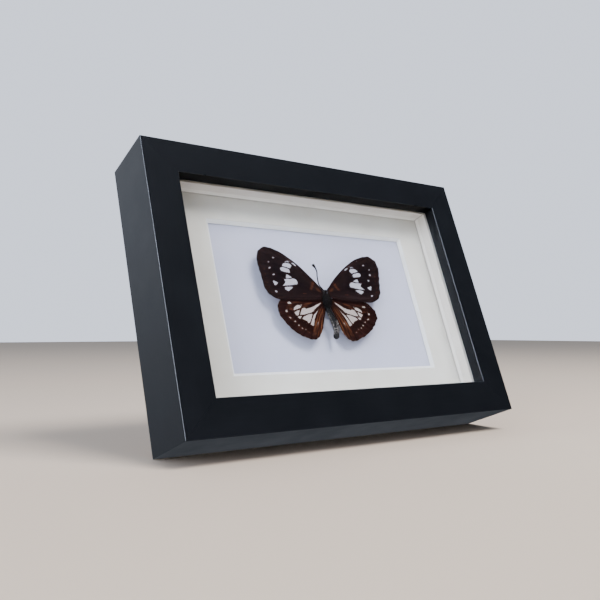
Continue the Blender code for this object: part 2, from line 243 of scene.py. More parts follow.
def blockMesh(low, high):
    mesh = bmesh.new()
    size = [b - a for a, b in zip(low, high)]
    middle = [(a + b) / 2 for a, b in zip(low, high)]
    bmesh.ops.create_cube(mesh, size=1.0, matrix=Matrix.Translation(middle) @ Matrix.Diagonal((*size, 1)))
    return mesh


# Satin black foil wrapped on a fibreboard moulding: a cool near-black with a soft wide gloss, a
# very fine pressed grain, and faint drawn streaks that run along each rail
def satinFoil(name, look):
    material, tree, position = newMaterial(name, IOR=1.5, Specular_IOR_Level=look["gloss"])
    drawn = addStretch(tree, addMap(tree, "along"), (0.02, 1.0, 1.0))
    streak = addNoise(tree, drawn, 0.35, detail=3.0, roughness=0.6)
    grain = addNoise(tree, position, 0.18, detail=2.0, roughness=0.55)
    cloud = addNoise(tree, position, 22, detail=4.0, roughness=0.6)
    tone = addMix(tree, cloud, look["dark"], look["pale"])
    lifted = addRange(tree, streak, (0.52, 0.78), (0.0, 0.35))
    colour = addMix(tree, lifted, tone, look["streak"])
    rough = addRange(tree, cloud, (0.3, 0.7), look["rough"])
    pressed = addBump(tree, grain, 0.16, 0.02)
    lines = addBump(tree, streak, 0.2, 0.03, pressed)
    return setShader(material, Base_Color=colour, Roughness=rough, Normal=lines)


# Medium density fibreboard, sawn: a dull tan felt of short fibres with darker flecks
def rawFibreboard():
    material, tree, position = newMaterial("sawn fibreboard", IOR=1.45, Roughness=0.9)
    felt = addNoise(tree, position, 0.6, detail=6.0, roughness=0.7)
    fleck = addNoise(tree, position, 1.6, detail=2.0, distortion=1.2)
    tan = addMix(tree, felt, "#86705a", "#b09a7c")
    dark = addRange(tree, fleck, (0.62, 0.72), (0.0, 0.5))
    colour = addMix(tree, dark, tan, "#5f452d")
    return setShader(material, Base_Color=colour, Normal=addBump(tree, felt, 0.5, 0.08))


# Float glass: clear with the faintest green, a sharp weak reflection and a slight drawn ripple
def floatGlass():
    material, tree, position = newMaterial("float glass", IOR=1.5, Roughness=0.0, Transmission_Weight=1.0,
                                           Specular_IOR_Level=0.12, Base_Color=hexColour("#fbfdfc"))
    ripple = addNoise(tree, position, 60, detail=1.0)
    return setShader(material, Normal=addBump(tree, ripple, 0.02, 0.02))


# Paper-faced board, cut or scored: matt, short felted fibres, faint cloudy colour
def paperBoard(name, pale, deep, fibre=0.35, relief=0.035):
    material, tree, position = newMaterial(name, IOR=1.45, Roughness=0.86)
    felt = addNoise(tree, position, fibre, detail=5.0, roughness=0.65)
    cloud = addNoise(tree, position, 9, detail=3.0)
    share = addRange(tree, addMath(tree, "MULTIPLY", felt, cloud), (0.12, 0.42))
    colour = addMix(tree, share, deep, pale)
    return setShader(material, Base_Color=colour, Normal=addBump(tree, felt, 0.35, relief))


# Tempered hardboard: a hot-pressed brown sheet, smooth, mottled by its wood fibres
def pressedHardboard():
    material, tree, position = newMaterial("tempered hardboard", IOR=1.48)
    fibre = addNoise(tree, position, 1.1, detail=7.0, roughness=0.72, distortion=0.8)
    blotch = addNoise(tree, position, 14, detail=4.0)
    brown = addMix(tree, blotch, "#483325", "#665040")
    share = addRange(tree, fibre, (0.5, 0.75), (0.0, 0.7))
    colour = addMix(tree, share, brown, "#857060")
    rough = addRange(tree, fibre, target=(0.42, 0.7))
    return setShader(material, Base_Color=colour, Roughness=rough, Normal=addBump(tree, fibre, 0.25, 0.05))


# Zinc-plated steel, stamped: a bluish bright metal with a soft mottle and fine rolling scratches
def zincSteel():
    material, tree, position = newMaterial("zinc plated steel", Metallic=1.0)
    mottle = addNoise(tree, position, 1.8, detail=4.0)
    scratch = addNoise(tree, addStretch(tree, position, (1.0, 1.0, 0.06)), 0.12)
    colour = addMix(tree, mottle, "#a9adb1", "#cdd0d2")
    rough = addRange(tree, scratch, (0.3, 0.7), (0.24, 0.44))
    return setShader(material, Base_Color=colour, Roughness=rough, Normal=addBump(tree, scratch, 0.12, 0.01))


# Closed-cell foam, skived: off-white with small open cells on the cut face
def pinningFoam():
    material, tree, position = newMaterial("closed cell foam", IOR=1.4, Roughness=0.92)
    cells = addCells(tree, position, 0.7)
    colour = addMix(tree, cells, "#dcdad2", "#f0efe9")
    return setShader(material, Base_Color=colour, Normal=addBump(tree, cells, 0.6, 0.15))


foil = satinFoil("satin black foil", {
    "gloss": 0.42, "dark": "#0e1014", "pale": "#15181d", "streak": "#20242a", "rough": (0.33, 0.43)})
# the lip's inner faces: the same foil made matt, and its colour also painted darker than the face's foil as
# painted shade in the recess
lipFoilPaintedShade = satinFoil("matt black foil of the lip painted darker as shade", {
    "gloss": 0.09, "dark": "#060607", "pale": "#0c0d10", "streak": "#232a33", "rough": (0.5, 0.62)})
# where the foil is stretched and rubbed over the long edges it is smoother; its colour there is painted a
# little paler, a painted highlight on the rounded arrises
edgeFoilPaintedHighlight = satinFoil("foil at the edges painted paler as a highlight", {
    "gloss": 0.36, "dark": "#171a1f", "pale": "#1f2329", "streak": "#3a414a", "rough": (0.26, 0.36)})
fibreboard = rawFibreboard()
glass = floatGlass()
spacerPaper = paperBoard("white spacer board", "#e6dfd5", "#d8d0c5", 0.3, 0.03)
spacerCut = paperBoard("cut edge of the spacer board", "#8d7762", "#6f5c4b", 0.15, 0.06)
# the folded foot is the same board; its colour is painted lighter than the wall's as painted light, where the
# fold faces the front
spacerFootPaintedLight = paperBoard("folded foot of the spacer board painted lighter as lit", "#f7f2ea", "#ebe5db")
matPaper = paperBoard("mat board paper face", "#e8e6de", "#ddd9cf", 0.4, 0.045)
matCore = paperBoard("mat board pulp core", "#f6f6f4", "#ecebe8", 0.2, 0.05)
smoothCard = paperBoard("smooth mount card", "#cacbde", "#c3c5da", 0.5, 0.012)
hardboard = pressedHardboard()
zinc = zincSteel()
foam = pinningFoam()
print("materials ready")

# Rails: an L in section with the lip in front, mitred, foil outside and bare board at the back
railSides = [
    ("bottom", moulding["width"], (moulding["width"] / 2, 0, 0), 0.0),
    ("right", moulding["height"], (moulding["width"], 0, moulding["height"] / 2), -math.pi / 2),
    ("top", moulding["width"], (moulding["width"] / 2, 0, moulding["height"]), math.pi),
    ("left", moulding["height"], (0, 0, moulding["height"] / 2), math.pi / 2),
]
nearly = 0.01  # millimetres: a face whose middle is this close to a plane lies in it


def mitredBar(profile, length, halfGap, weights):
    # the profile's corners are (across, depth); weights give some long edges their rounding
    mesh = bmesh.new()
    rounding = mesh.edges.layers.float.new("bevel_weight_edge")
    corners = [mesh.verts.new((-length / 2, depth, across)) for across, depth in profile]
    end = mesh.faces.new(corners)
    made = bmesh.ops.extrude_face_region(mesh, geom=[end])["geom"]
    bmesh.ops.translate(mesh, verts=madeOf(bmesh.types.BMVert, made), vec=(length, 0, 0))
    for side in (-1, 1):
        normal = Vector((side, 0, 1)).normalized()
        cutOff(mesh, Vector((side * length / 2, 0, 0)) - normal * halfGap, normal)
    bmesh.ops.recalc_face_normals(mesh, faces=mesh.faces)
    for edge in mesh.edges:
        a, b = edge.verts
        isLong = abs(a.co.x - b.co.x) > length / 3
        for (across, depth), weight in weights.items():
            if isLong and math.hypot(a.co.z - across, a.co.y - depth) < 1e-3:
                edge[rounding] = weight
        edge.smooth = edge[rounding] > 0 or edge.calc_face_angle(0.0) < math.radians(20)
    unwrap = mesh.loops.layers.uv.new("along")
    for face in mesh.faces:
        for loop in face.loops:
            loop[unwrap].uv = (loop.vert.co.x * mm, (loop.vert.co.z + loop.vert.co.y) * mm)
    return mesh


def placeOnRail(location, turn):
    return toWorld @ Matrix.Translation(location) @ Matrix.Rotation(turn, 4, "Y")


lip, face, wall, deep = (moulding[key] for key in ("lip", "face", "wall", "depth"))
railProfile = [(0, 0), (face, 0), (face, lip), (wall, lip), (wall, deep), (0, deep)]
roundShare = moulding["innerRound"] / moulding["round"]
railRounding = {(0, 0): 1.0, (face, 0): 1.0, (face, lip): roundShare, (0, deep): 0.15}
for name, length, location, turn in railSides:
    bar = mitredBar(railProfile, length, moulding["mitreGap"] / 2, railRounding)
    for side in bar.faces:
        middle = side.calc_center_median()
        isBare = middle.y > deep - nearly or abs(middle.z - wall) < nearly
        inLip = abs(middle.z - face) < nearly
        # the lip's inner face takes the foil painted darker, painted shade
        side.material_index = 1 if isBare else 2 if inLip else 0
    rail = addPiece(f"foil_rail_{name}", bar, [foil, fibreboard, lipFoilPaintedShade, edgeFoilPaintedHighlight],
                    [f"rail_{name}"], place=placeOnRail(location, turn))
    # the rounded edges take the foil whose colour is painted paler, a painted highlight
    softenEdges(rail, moulding["round"], 4, "WEIGHT").material = 3
print("rails made")

# Spacers line the deep inner wall and flare out over the mat at their rear edge, past a scored fold
spacer = {
    "front": 7.5, "back": 13.9, "flare": 1.6, "foot": 0.7, "ply": 0.25, "scoreLong": 0.14, "scoreDeep": 0.12,
    "round": 0.12, "mitreGap": 0.2,
}
spacerToe, foldAt = face + spacer["foot"], spacer["back"] - spacer["flare"]
spacerProfile = [
    (rebateEdge, spacer["front"]), (face, spacer["front"]), (face, foldAt - spacer["scoreLong"]),
    (face - spacer["scoreDeep"], foldAt), (spacerToe, spacer["back"] - spacer["ply"]),
    (spacerToe, spacer["back"]), (rebateEdge, spacer["back"]),
]
for name, length, location, turn in railSides:
    strip = mitredBar(spacerProfile, length, spacer["mitreGap"] / 2, {(face, spacer["front"]): 1.0})
    for side in strip.faces:
        middle = side.calc_center_median()
        isCut = abs(side.normal.x) > 0.5 or abs(middle.z - spacerToe) < nearly
        inFoot = middle.y > foldAt and side.normal.y < -0.2
        # the foot's faces take the paper painted lighter, painted light
        side.material_index = 1 if isCut else 2 if inFoot else 0
    lining = addPiece(f"spacer_strip_{name}", strip, [spacerPaper, spacerCut, spacerFootPaintedLight],
                      [f"spacer_{name}"], place=placeOnRail(location, turn))
    softenEdges(lining, spacer["round"], 2, "WEIGHT")

# Mat: a paper face over a pulp core, which shows in the 45 degree bevel of the window
matBoard = {
    "front": 14.2, "thick": 1.5, "ply": 0.16, "left": 30.9, "bottom": 25.7, "right": 142.0, "top": 94.9,
}


def matMesh():
    # one loop walks from the outer edge over the face, down the bevel and back behind
    mesh = bmesh.new()
    width, height = moulding["width"], moulding["height"]
    outer = (rebateEdge, rebateEdge, width - rebateEdge, height - rebateEdge)
    window = tuple(matBoard[key] for key in ("left", "bottom", "right", "top"))
    front, thick, ply = (matBoard[key] for key in ("front", "thick", "ply"))

    def narrowed(amount):
        return tuple(edge + amount * way for edge, way in zip(window, (1, 1, -1, -1)))

    verts = [mesh.verts.new((outer[x], front, outer[z])) for x, z in ((0, 1), (2, 1), (2, 3), (0, 3))]
    edges = [mesh.edges.new((verts[i - 1], verts[i])) for i in range(4)]
    for (left, bottom, right, top), depth, finish in (
        (window, front, 0), (narrowed(ply), front + ply, 0), (narrowed(thick), front + thick, 1),
        (outer, front + thick, 0), (outer, front, 0),
    ):
        made = bmesh.ops.extrude_edge_only(mesh, edges=edges)["geom"]
        edges = madeOf(bmesh.types.BMEdge, made)
        for side in madeOf(bmesh.types.BMFace, made):
            side.material_index = finish
        for vert in madeOf(bmesh.types.BMVert, made):
            vert.co = (left if vert.co.x < width / 2 else right, depth,
                       bottom if vert.co.z < height / 2 else top)
    bmesh.ops.remove_doubles(mesh, verts=mesh.verts, dist=1e-4)
    bmesh.ops.recalc_face_normals(mesh, faces=mesh.faces)
    return mesh


addPiece("bevelled_mat", matMesh(), [matPaper, matCore], ["mat"], smooth=False)

# Back panel, with its edges eased
backBoard = {"front": 23.3, "thick": 3.0, "round": 0.25}
panelLow = (rebateEdge, backBoard["front"], rebateEdge)
panelHigh = (moulding["width"] - rebateEdge, backBoard["front"] + backBoard["thick"],
             moulding["height"] - rebateEdge)
panel = addPiece("hardboard_back", blockMesh(panelLow, panelHigh), [hardboard], ["back_panel"])
softenEdges(panel, backBoard["round"])

# Strut: the same hardboard, its edges eased, sawn at the foot to stand flat; it swings on its hinge
strutBoard = {
    "turn": 37.6, "hinge": (85.5, 28.2, 92.0), "front": 0.7, "thick": 2.5, "top": 3.0, "length": 98.0,
    "topWidth": 38.0, "footWidth": 50.0, "footGap": 0.02, "round": 0.25,
}
toStrut = (toWorld @ Matrix.Translation(strutBoard["hinge"])
           @ Matrix.Rotation(math.radians(strutBoard["turn"]), 4, "X"))
legLow = (-0.5, strutBoard["front"], -strutBoard["length"])
leg = blockMesh(legLow, (0.5, strutBoard["front"] + strutBoard["thick"], -strutBoard["top"]))
for vert in leg.verts:
    vert.co.x *= strutBoard["topWidth" if vert.co.z > -strutBoard["length"] / 2 else "footWidth"]
fromWorld = toStrut.inverted()
downwards = (fromWorld.to_3x3() @ Vector((0, 0, -1))).normalized()
cutOff(leg, fromWorld @ Vector((0, 0, strutBoard["footGap"] * mm)), downwards)
bmesh.ops.recalc_face_normals(leg, faces=leg.faces)
strut = addPiece("hardboard_strut", leg, [hardboard], ["strut"], body="strut", place=toStrut)
softenEdges(strut, strutBoard["round"])
print("spacers, mat, back and strut made")

# Solids that stay as they are and only take a better finish
cadFinishes = {"glass": glass, "mount_card": smoothCard, "pinning_foam": foam}
zincStarts = ("mounting_pin", "hinge_", "point_", "rivet_")
for node, piece in frame["nodes"].items():
    if node in cadFinishes:
        piece.material_slots[0].material = cadFinishes[node]
    elif node.startswith(zincStarts):
        piece.material_slots[0].material = zinc
frame["nodes"]["glass"].visible_shadow = False  # lets the soft lights reach what is shut in

# The butterfly's axes: out from the middle of the thorax and up, seen from the front
insect = {"across": 83.2, "up": 59.65, "foreDepth": 11.15, "hindDepth": 11.75}

foreShape = {
    "outline": [
        (0.9, 2.8), (2.3, 4.5), (4.3, 7.0), (7.0, 10.0), (9.8, 12.8), (12.8, 15.5), (16.0, 18.0),
        (19.5, 20.3), (23.5, 21.9), (26.0, 22.5), (28.0, 22.5), (29.9, 21.6), (31.8, 19.5), (32.7, 16.0),
        (32.45, 12.2), (32.0, 8.4), (31.75, 4.7), (31.1, 2.1), (29.8, 0.1), (27.5, -1.45), (24.4, -2.3),
        (17.2, -2.55), (11.2, -2.5), (2.6, -1.8), (0.9, -1.0),
    ],
    "centre": (17.0, 9.0),
    "root": (1.5, 1.5),
    "patches": [
        [(20.3, 13.75), (19.6, 14.8), (18.5, 15.2), (17.5, 15.15), (16.2, 14.9), (15.4, 13.8), (16.1, 13.1),
         (16.4, 12.5), (17.4, 12.75), (18.6, 13.2), (19.6, 13.4)],
        [(18.7, 15.5), (17.5, 16.2), (16.9, 16.05), (17.6, 15.5)],
        [(17.1, 16.3), (16.2, 15.75), (16.7, 15.25), (17.3, 15.6)],
        [(16.3, 16.6), (15.9, 16.3), (15.4, 15.75), (16.0, 15.95)],
        [(21.75, 12.05), (21.3, 12.85), (20.3, 13.2), (19.1, 12.9), (17.4, 12.4), (16.9, 11.7), (17.0, 10.5),
         (18.5, 10.6), (20.0, 10.9), (21.1, 11.2)],
        [(15.15, 15.3), (14.5, 15.45), (13.75, 14.95), (12.9, 14.3), (13.1, 13.8), (13.75, 14.05),
         (14.4, 14.7), (14.9, 14.75)],
        [(19.3, 9.55), (18.5, 9.55), (17.5, 9.05), (16.3, 8.3), (17.5, 7.95), (19.6, 7.9), (19.45, 8.6)],
        [(21.3, 7.7), (20.5, 7.35), (19.5, 7.6), (17.5, 7.6), (16.0, 7.9), (15.2, 7.75), (14.3, 7.1),
         (14.0, 6.2), (14.35, 5.2), (15.0, 4.95), (16.5, 4.8), (18.5, 4.5), (20.5, 4.35), (22.3, 4.2),
         (21.4, 4.9), (20.6, 5.6), (20.3, 6.2), (20.6, 6.8)],
        [(21.2, 3.6), (19.5, 3.9), (18.0, 3.95), (16.9, 3.85), (17.7, 3.0), (18.7, 2.4), (19.75, 1.75),
         (20.25, 2.2), (21.1, 2.6), (21.3, 3.1)],
        [(26.75, 6.3), (26.1, 6.6), (25.4, 6.15), (24.8, 6.0), (24.05, 5.65), (24.7, 4.9), (25.7, 4.3),
         (26.2, 4.5), (26.2, 5.3), (26.6, 5.9)],
    ],
    "spots": [  # out, up, half width, half height, tilt in degrees
        (24.05, 17.35, 0.62, 0.36, 0), (26.95, 15.2, 0.46, 0.36, 30), (26.9, 12.45, 0.6, 0.38, -25),
        (25.5, 9.4, 0.62, 0.38, -8), (25.95, 1.5, 0.72, 0.42, 20), (20.75, 19.4, 0.3, 0.1, 10),
    ],
    "flecks": [
        (29.6, 11.9, 0.32), (29.6, 9.4, 0.26), (29.4, 7.7, 0.3), (29.5, 5.5, 0.24), (28.9, 3.6, 0.3),
        (28.35, 1.1, 0.36), (29.8, 15.1, 0.24), (27.9, 21.0, 0.26), (26.9, 19.1, 0.22), (5.3, -0.75, 0.22),
        (11.9, 1.0, 0.3), (10.9, 0.9, 0.25),
    ],
    "rust": [
        [(8.5, 2.8), (7.25, 4.7), (6.35, 6.7), (5.5, 7.4), (4.9, 6.2), (5.7, 4.4), (7.0, 2.7), (7.7, 2.55)],
        [(4.7, 4.2), (3.6, 3.9), (2.2, 2.6), (2.3, 1.9), (3.6, 1.9), (4.6, 2.9)],
    ],
    "veins": [
        [(1.2, 2.2), (4.0, 5.6), (7.0, 8.8), (13.2, 15.2), (19.6, 19.2), (24.6, 21.4)],
        [(1.2, 2.0), (4.0, 4.9), (7.0, 7.6), (11.0, 11.0), (14.8, 13.0)],
        [(13.5, 12.4), (17.0, 16.4), (22.0, 19.4), (27.5, 22.0)],
        [(14.8, 13.0), (16.6, 15.2), (22.0, 17.7), (31.0, 19.8)],
        [(14.8, 12.6), (16.4, 12.45), (18.6, 13.05), (20.8, 13.4), (26.0, 15.1), (32.3, 16.3)],
        [(14.6, 11.4), (17.0, 10.3), (21.6, 11.0), (27.0, 13.4), (32.3, 13.9)],
        [(14.2, 8.6), (16.0, 9.9), (22.0, 10.1), (32.2, 11.0)],
        [(12.5, 5.4), (15.2, 7.85), (17.5, 7.78), (19.8, 7.72), (26.0, 7.7), (31.9, 7.6)],
        [(9.0, 3.6), (14.6, 4.9), (18.0, 4.25), (22.3, 4.0), (27.0, 3.9), (31.3, 3.6)],
        [(1.6, 1.3), (4.0, 1.9), (7.0, 2.5), (9.0, 3.6), (12.5, 5.4), (14.2, 8.6)],
        [(14.2, 8.6), (14.5, 10.5), (14.8, 12.6)],
        [(1.6, -0.3), (10.0, -0.9), (20.0, -0.9), (29.5, 0.8)],
    ],
}
hindShape = {
    "outline": [
        (0.9, -1.6), (2.5, -1.3), (14.0, -0.4), (22.5, -0.4), (24.9, -1.6), (26.7, -3.9), (27.2, -7.0),
        (26.3, -10.0), (23.4, -14.0), (19.7, -17.3), (14.7, -19.6), (12.0, -20.2), (10.2, -19.9),
        (8.2, -18.6), (6.5, -16.6), (5.2, -14.1), (3.8, -11.0), (2.8, -8.6), (1.7, -6.4), (0.9, -4.0),
    ],
    "centre": (14.5, -9.0),
    "root": (2.0, -2.2),
    "patches": [
        [(19.25, -6.35), (18.85, -5.55), (17.95, -4.75), (16.55, -4.15), (14.45, -4.0), (14.95, -4.95),
         (15.75, -5.65), (16.95, -6.1), (18.15, -6.35), (19.05, -6.75)],
        [(19.25, -7.75), (18.35, -7.25), (17.15, -6.75), (16.2, -6.5), (16.45, -7.25), (16.85, -8.05),
         (17.15, -8.85), (17.75, -9.15), (18.25, -9.25), (18.65, -8.65)],
        [(16.65, -8.85), (16.15, -7.85), (15.55, -6.65), (14.95, -5.85), (14.15, -5.55), (13.0, -5.5),
         (12.65, -5.95), (11.95, -5.7), (10.75, -5.55), (8.55, -4.85), (6.55, -3.85), (4.75, -3.15),
         (3.3, -2.75), (4.75, -3.85), (6.55, -5.05), (7.95, -6.05), (9.15, -7.15), (10.55, -7.75),
         (12.55, -8.25), (13.75, -8.65), (14.95, -8.85), (16.15, -8.95)],
        [(17.95, -9.75), (17.15, -9.25), (15.75, -9.35), (16.0, -9.85), (16.75, -10.65), (17.35, -10.45)],
        [(15.85, -10.55), (14.95, -9.65), (13.75, -9.15), (12.15, -8.55), (10.15, -8.15), (9.8, -8.4),
         (10.35, -9.45), (10.95, -10.45), (11.95, -12.05), (12.55, -12.45), (12.95, -12.65), (13.35, -11.65),
         (14.55, -11.05), (15.35, -10.75)],
        [(12.05, -13.15), (11.15, -11.65), (10.15, -10.05), (9.25, -8.75), (7.75, -7.65), (6.2, -6.25),
         (5.15, -5.6), (5.3, -5.95), (6.6, -7.05), (7.95, -8.65), (8.55, -9.65), (9.35, -10.85),
         (9.95, -12.65), (10.55, -13.85), (11.15, -13.65)],
        [(8.95, -13.65), (8.65, -12.85), (7.95, -12.05), (7.35, -11.75), (7.6, -12.5), (8.15, -13.25),
         (8.75, -14.05)],
    ],
    "spots": [
        (20.75, -3.5, 0.98, 0.66, 12), (22.95, -7.15, 0.5, 0.56, -20), (22.6, -6.5, 0.16, 0.5, 25),
        (21.75, -10.1, 0.72, 0.32, 38), (19.65, -11.75, 0.46, 0.32, 0), (18.1, -13.5, 0.42, 0.3, -30),
        (16.7, -14.8, 0.46, 0.26, 10), (14.95, -15.45, 0.34, 0.28, 20), (13.65, -16.7, 0.3, 0.15, 20),
        (11.3, -17.6, 0.3, 0.12, -20),
    ],
    "flecks": [],
    "rust": [
        [(13.9, -5.1), (13.4, -3.9), (11.95, -3.3), (10.3, -3.05), (8.7, -2.9), (9.8, -3.8), (10.9, -4.5),
         (12.3, -5.0)],
        [(14.3, -2.7), (17.6, -3.3), (19.2, -3.9), (19.2, -3.3), (16.0, -2.5)],
        [(3.0, -4.4), (6.4, -7.6), (9.2, -11.4), (10.6, -14.2), (11.4, -16.4), (10.2, -19.2), (7.0, -17.2),
         (4.2, -11.5), (2.4, -7.2)],
        [(21.5, -4.6), (19.6, -4.9), (19.7, -6.8), (21.4, -6.4)],
    ],
    "veins": [
        [(1.6, -1.9), (10.0, -2.3), (18.0, -1.7), (24.0, -2.0)],
        [(2.6, -2.4), (8.0, -3.7), (12.0, -5.2), (14.4, -5.2), (15.3, -4.2), (15.6, -3.3)],
        [(15.3, -4.2), (20.0, -3.9), (27.0, -4.8)],
        [(14.6, -5.3), (15.9, -6.1), (19.3, -7.1), (24.0, -8.5), (26.6, -9.3)],
        [(14.6, -5.3), (15.7, -7.0), (16.9, -8.95), (17.9, -9.4)],
        [(2.8, -2.9), (6.2, -5.3), (8.6, -7.3), (10.4, -8.0), (12.6, -8.45), (15.0, -9.0), (16.9, -9.1),
         (20.8, -10.9), (24.5, -13.2)],
        [(14.6, -9.1), (15.85, -9.9), (16.5, -10.7), (19.0, -12.7), (22.3, -15.2)],
        [(8.6, -7.3), (9.5, -8.3), (10.4, -9.9), (11.7, -12.2), (12.6, -13.4), (15.5, -16.2), (17.5, -18.4)],
        [(3.6, -4.2), (6.4, -6.9), (8.9, -10.5), (10.4, -14.1), (12.6, -17.4), (13.4, -19.8)],
        [(3.2, -5.0), (6.4, -9.0), (8.4, -13.0), (9.6, -16.4), (10.8, -19.8)],
        [(2.8, -5.8), (5.2, -10.0), (7.0, -14.0), (8.9, -18.6)],
        [(2.2, -6.2), (4.2, -10.5), (6.0, -14.6)],
    ],
}
# How each wing dried, against the outline above: longer, broader, leant, drooped, fanned out towards
# its tip, then shifted in millimetres
asDrawn = {"long": 1.0, "broad": 1.0, "lean": 0.0, "droop": 0.0, "fan": (0.0, 0.0)}
wingSpread = {
    ("fore", "left"): {**asDrawn, "shift": (0.2, 0.0)},
    ("hind", "left"): {**asDrawn, "shift": (-0.35, 0.0)},
    ("fore", "right"): {
        "long": 1.03, "broad": 0.9, "lean": -0.04, "droop": 0.04, "fan": (0.005, 0.003), "shift": (0.2, 0.7)},
    ("hind", "right"): {
        "long": 0.97, "broad": 1.1, "lean": 0.15, "droop": 0.12, "fan": (-0.006, -0.01), "shift": (0.7, 1.1)},
}
# The right hindwing's lower margin also reaches further out than the left one's
hindMargin = {"by": 1.0, "within": 3.5, "below": -3.0, "over": 6.0, "centre": (14.0, -9.0)}
wingForm = {
    "thick": 0.12, "rim": 400, "rings": 72,
    "scallop": 0.24, "scallopWidth": 1.3, "tear": 0.09, "tearPitch": 1.9,  # along the margin
    "ridge": 0.075, "ridgeWidth": 0.2, "sag": 0.11, "sagWidth": 1.4,       # over and between the veins
    "wave": 0.16, "wavePitch": 0.16, "bow": 0.0007, "bowFrom": 12,         # of the whole sheet
}
reach = 2.0       # millimetres: further from a marking than this, its exact distance doesn't matter
fleckEdge = 2.4   # how much sharper a fleck's edge is than a patch's
readings = ("patch", "rust", "vein", "margin", "fringe")


def boxed(shapes):
    # each marking with the box that it reaches over
    found = []
    for corners in shapes:
        across, up = zip(*corners)
        found.append((corners, (min(across) - reach, max(across) + reach, min(up) - reach, max(up) + reach)))
    return found


def measured(measure, place, shapes):
    # a distance to each marking that reaches this place
    x, z = place
    return [measure(place, corners) for corners, box in shapes
            if box[0] < x < box[1] and box[2] < z < box[3]]


def edgeDistance(px, pz, ax, az, bx, bz):
    # squared, from a point to one straight edge
    ex, ez = bx - ax, bz - az
    share = ((px - ax) * ex + (pz - az) * ez) / (ex * ex + ez * ez)
    share = min(max(share, 0.0), 1.0)
    return (px - ax - ex * share) ** 2 + (pz - az - ez * share) ** 2


def insideDistance(point, corners):
    # millimetres to the outline of a closed shape, positive inside
    nearest, inside = 1e9, False
    px, pz = point
    ax, az = corners[-1]
    for bx, bz in corners:
        nearest = min(nearest, edgeDistance(px, pz, ax, az, bx, bz))
        if (az > pz) != (bz > pz) and px < (bx - ax) * (pz - az) / (bz - az) + ax:
            inside = not inside
        ax, az = bx, bz
    return math.sqrt(nearest) * (1 if inside else -1)


def lineDistance(point, line):
    return math.sqrt(min(edgeDistance(*point, *a, *b) for a, b in zip(line, line[1:])))


def spotDistance(point, spot):
    out, up, wide, high, tilt = spot
    turn = math.radians(tilt)
    dx, dz = point[0] - out, point[1] - up
    across = (dx * math.cos(turn) + dz * math.sin(turn)) / wide
    along = (dz * math.cos(turn) - dx * math.sin(turn)) / high
    return (1 - math.hypot(across, along)) * min(wide, high)


def nearestOf(place, points):
    return min(math.hypot(place[0] - x, place[1] - z) for x, z in points)


def wingSheet(shape):
    # rings shrink from the rim to one point, and every point learns where it is in the pattern
    mesh = bmesh.new()
    layers = {name: mesh.verts.layers.float.new(name) for name in readings}
    rays = mesh.loops.layers.uv.new("rays")
    lines = [[(p.x, p.y) for p in smoothLoop(line, 14, closed=False)] for line in shape["veins"]]
    ends = [line[-1] for line in lines]
    patches, rusts, veins = (boxed(shapes) for shapes in (shape["patches"], shape["rust"], lines))
    rim = []
    for point in smoothLoop(shape["outline"], wingForm["rim"]):
        gap = nearestOf(point, ends)
        inward = (Vector(shape["centre"]) - point).normalized()
        scallop = wingForm["scallop"] * min(gap / wingForm["scallopWidth"], 1.0) ** 2
        pitch = wingForm["tearPitch"]
        torn = wingForm["tear"] * noise.noise(Vector((point.x * pitch, point.y * pitch, 3.0)))
        rim.append(point + inward * (scallop + torn))
    outline = [(p.x, p.y) for p in rim[::3]]
    verts = [mesh.verts.new((p.x, 0, p.y)) for p in rim]
    edges = [mesh.edges.new((verts[i - 1], verts[i])) for i in range(len(verts))]
    centre = Vector((shape["centre"][0], 0, shape["centre"][1]))
    for ring in range(1, wingForm["rings"]):
        made = bmesh.ops.extrude_edge_only(mesh, edges=edges)["geom"]
        edges = madeOf(bmesh.types.BMEdge, made)
        moved = madeOf(bmesh.types.BMVert, made)
        share = (wingForm["rings"] - ring) / (wingForm["rings"] - ring + 1)
        bmesh.ops.scale(mesh, verts=moved, vec=(share, share, share), space=Matrix.Translation(-centre))
    bmesh.ops.pointmerge(mesh, verts=moved, merge_co=centre)
    for vert in mesh.verts:
        place = (vert.co.x, vert.co.z)
        spots = [spotDistance(place, item) for item in shape["spots"]]
        flecks = [fleckEdge * (r - math.hypot(place[0] - x, place[1] - z)) for x, z, r in shape["flecks"]]
        vert[layers["patch"]] = max([-reach] + measured(insideDistance, place, patches) + spots)
        vert[layers["rust"]] = max([-reach] + measured(insideDistance, place, rusts) + flecks)
        vert[layers["vein"]] = min([reach] + measured(lineDistance, place, veins))
        vert[layers["margin"]] = nearestOf(place, outline)
        vert[layers["fringe"]] = nearestOf(place, ends)
    rootX, rootZ = shape["root"]
    for side in mesh.faces:
        for loop in side.loops:
            dx, dz = loop.vert.co.x - rootX, loop.vert.co.z - rootZ
            loop[rays].uv = (math.atan2(dz, dx), math.hypot(dx, dz) * mm)
    return mesh


def outgrown(out, up, fromRim):
    lower = min(max((hindMargin["below"] - up) / hindMargin["over"], 0.0), 1.0)
    spare = hindMargin["by"] * max(0.0, 1 - max(fromRim, 0.0) / hindMargin["within"]) * lower
    away = Vector((out - hindMargin["centre"][0], up - hindMargin["centre"][1])).normalized() * spare
    return out + max(away.x, 0.0), up + away.y


